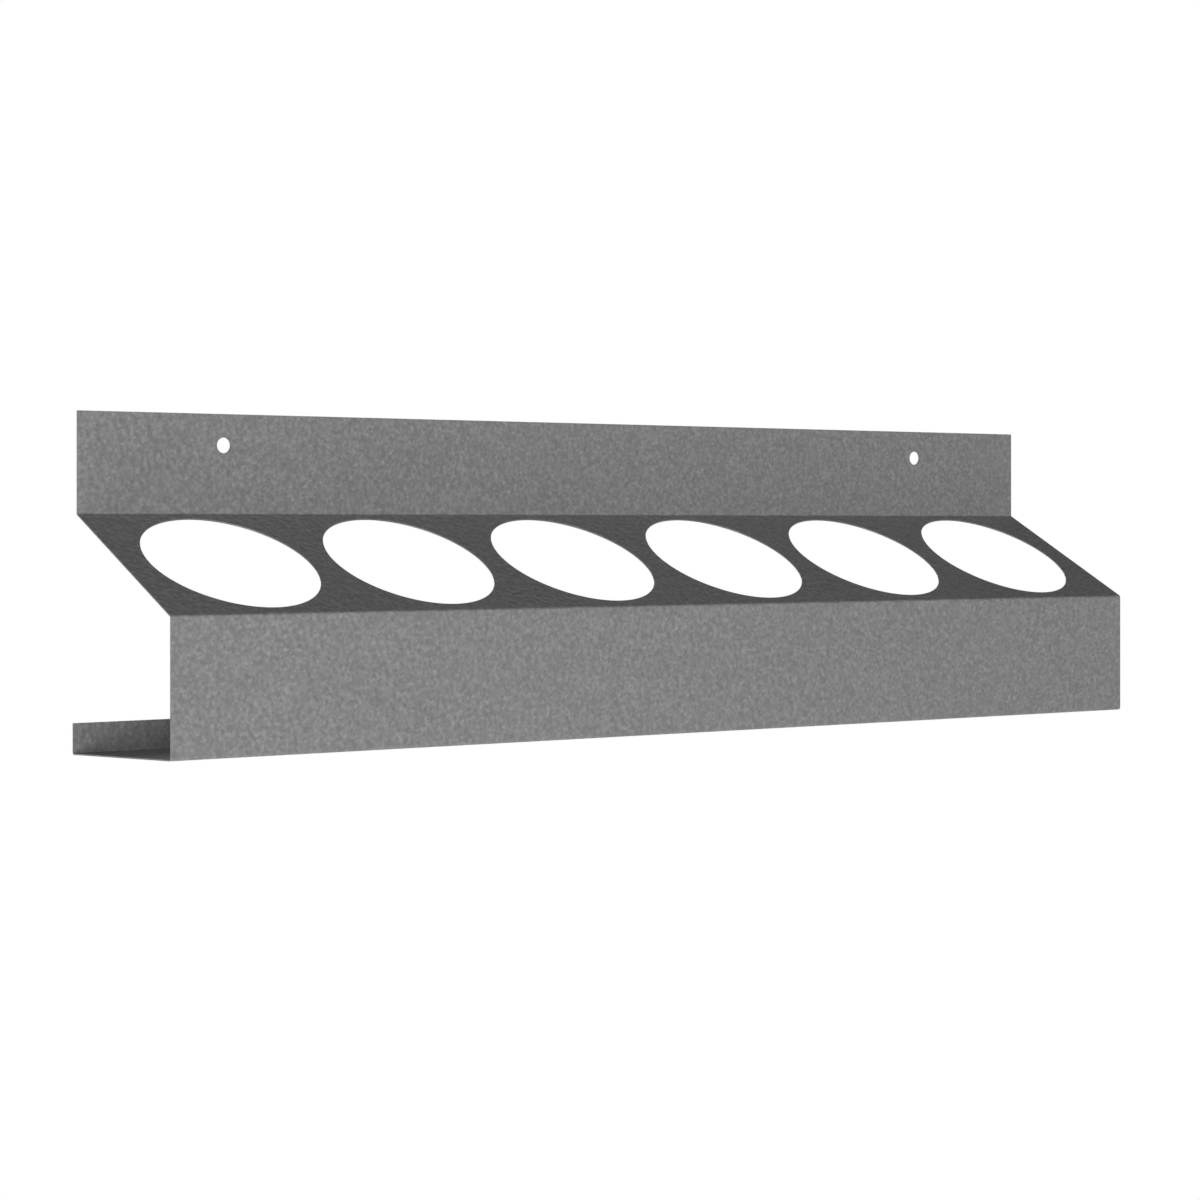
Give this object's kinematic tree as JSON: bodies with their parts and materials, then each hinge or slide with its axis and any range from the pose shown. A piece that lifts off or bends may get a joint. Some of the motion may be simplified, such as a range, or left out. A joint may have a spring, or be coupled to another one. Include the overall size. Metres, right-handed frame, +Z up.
{
  "type": "wall-mounted bottle caddy",
  "caption": "Wall caddy folded from thin galvanised steel sheet: back panel with screw holes, forward slope with a row of large round holes, upright front, open-ended floor and low rear lip.",
  "frame": {"origin": "middle of the back panel's flat rear face, which lies on the wall", "axes": "+X along the caddy's length, to the right for someone facing it; +Y into the wall, so the front faces -Y; +Z up"},
  "size_m": [0.43, 0.0627, 0.1117],
  "materials": {
    "galvanised_steel": "matt mottled grey zinc, uncoated, with bare cut edges"
  },
  "bodies": {
    "root": {"folded_sheet": "galvanised_steel"}
  },
  "joints": []
}
